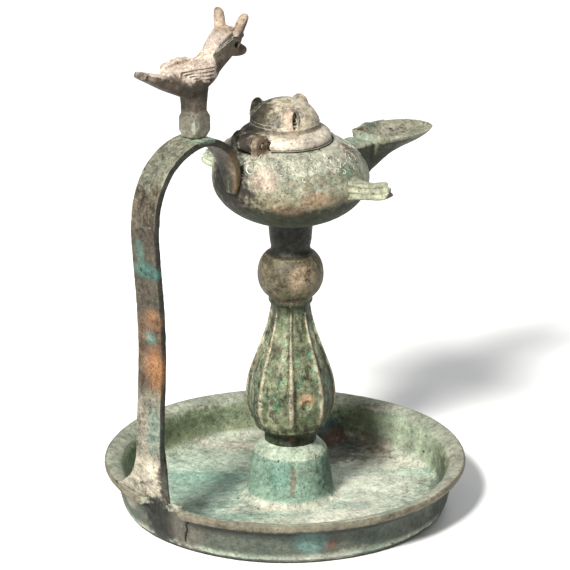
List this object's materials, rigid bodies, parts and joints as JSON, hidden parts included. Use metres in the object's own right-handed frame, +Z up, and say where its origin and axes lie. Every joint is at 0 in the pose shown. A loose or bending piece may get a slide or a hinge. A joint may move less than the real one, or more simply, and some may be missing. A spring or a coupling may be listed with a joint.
{
  "type": "bronze oil lamp",
  "caption": "Antique bronze oil lamp on a ribbed stem in a round drip tray, with a hinged domed lid, a leaf-shaped spout, side fins and a strap handle topped by a bird.",
  "frame": {"origin": "centre of the tray's flat underside", "axes": "+Z up along the stem; the spout points along +X, the strap handle and bird stand at -X, and the side fins point along -Y and +Y"},
  "size_m": [0.1793, 0.164, 0.2364],
  "materials": {
    "verdigris": "cast bronze under pale mint and turquoise verdigris with sandy crust, matt",
    "dark_bronze": "dark olive-brown bronze patina with malachite specks and rubbed tan ribs, half matt",
    "grey_green": "grey-green patina with pale engraved scrolls, tan and reddish crust, matt",
    "brown_crust": "grey-brown patina with a coppery orange stretch, turquoise specks and a cream foot, matt",
    "pale_crust": "pale cream and pink-grey crust over dark bronze, matt",
    "lid_crust": "cream and grey-pink crust with dark olive-brown bronze where worn, matt"
  },
  "bodies": {
    "lamp": {"tray": "verdigris", "stem": "dark_bronze", "oil_reservoir": "grey_green", "handle_strap": "brown_crust", "bird_finial": "pale_crust", "hinge_pin": "dark_bronze"},
    "lid": {"lid": "lid_crust"}
  },
  "joints": [
    {"name": "lid_hinge", "type": "hinge", "parent": "lamp", "child": "lid", "pos_m": [-0.0237, -0.0018, 0.175], "axis": [0, -1, 0], "range_deg": [0, 75]}
  ]
}
